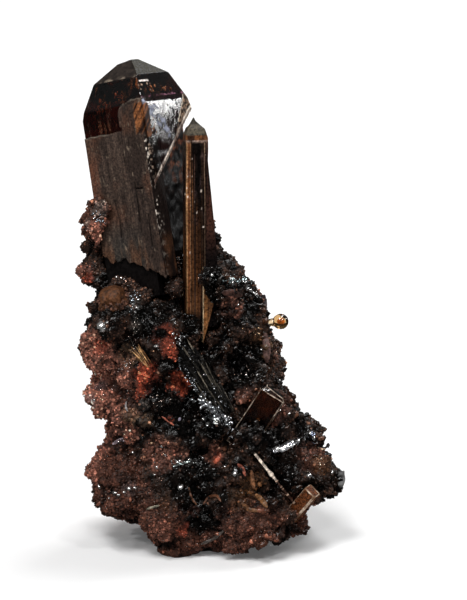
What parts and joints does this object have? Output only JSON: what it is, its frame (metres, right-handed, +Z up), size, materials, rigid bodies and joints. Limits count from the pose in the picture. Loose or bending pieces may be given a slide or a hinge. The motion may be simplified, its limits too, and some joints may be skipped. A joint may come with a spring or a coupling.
{
  "type": "xenotime crystals on matrix, mineral specimen",
  "caption": "Dark brown square crystals with pyramid ends standing on a tall rough red-brown and black crusted stone, which rests on its flat foot.",
  "frame": {"origin": "centre of the flat foot that the stone rests on", "axes": "+Z up, along the specimen's longest side; +X to the right and -Y to the front as the specimen is shown, with the tall golden crystal in front of the large brown one"},
  "size_m": [0.019, 0.014, 0.0338],
  "materials": {
    "crusted_stone": "rough, sugary crust with tiny glossy facets",
    "dark_brown_crystal": "glossy to dull, translucent dark brown",
    "golden_brown_crystal": "glossy, striated, translucent",
    "orange_crystal": "glossy, striated, translucent",
    "amber_crystal": "clear, glossy",
    "pale_needle": "silky, striated",
    "silvery_black_blades": "bright metallic lustre, striated"
  },
  "bodies": {
    "root": {"matrix": "crusted_stone", "main_crystal": "dark_brown_crystal", "tall_crystal": "golden_brown_crystal", "side_blade": "dark_brown_crystal", "corner_prism": "orange_crystal", "long_needle": "pale_needle", "amber_nub": "amber_crystal", "brown_stub": "dark_brown_crystal", "rutile_sheaf": "silvery_black_blades", "tan_needles": "pale_needle"}
  },
  "joints": []
}
